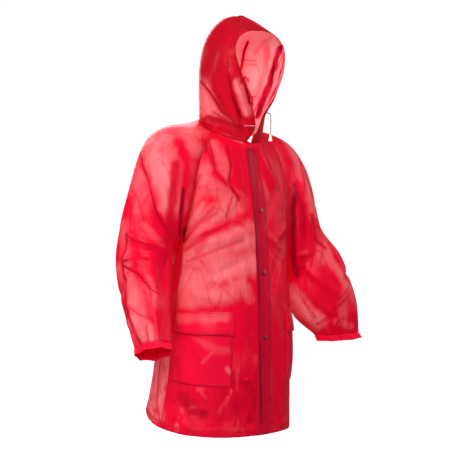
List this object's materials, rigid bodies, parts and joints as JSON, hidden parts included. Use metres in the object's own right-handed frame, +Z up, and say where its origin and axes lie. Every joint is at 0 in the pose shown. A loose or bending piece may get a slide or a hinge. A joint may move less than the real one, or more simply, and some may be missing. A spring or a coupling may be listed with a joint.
{
  "type": "hooded raincoat",
  "caption": "Hooded raincoat of thin translucent film with raglan sleeves, gathered cuffs, a storm flap with press studs, flap pockets and a drawcord, hollow as worn.",
  "frame": {"origin": "middle of the neck seam, where the hood joins the body", "axes": "+Z up, -Y out of the front, +X towards the wearer's left"},
  "size_m": [0.6808, 0.3035, 0.9879],
  "materials": {
    "film": "soft translucent film, satin gloss",
    "hood_film": "the same film, seen in two layers",
    "stud": "moulded, glossy",
    "cord": "braided cord",
    "stopper": "moulded, satin"
  },
  "bodies": {
    "root": {"front_right": "film", "front_left": "film", "back": "film", "sleeve_right": "film", "sleeve_left": "film", "cuff_right": "film", "cuff_left": "film", "hood_right": "hood_film", "hood_left": "hood_film", "placket": "film", "pocket_right": "film", "pocket_left": "film", "pocket_flap_right": "film", "pocket_flap_left": "film", "snap_1": "stud", "snap_2": "stud", "snap_3": "stud", "cord_right": "cord", "cord_left": "cord", "stopper_right": "stopper", "stopper_left": "stopper"}
  },
  "joints": []
}
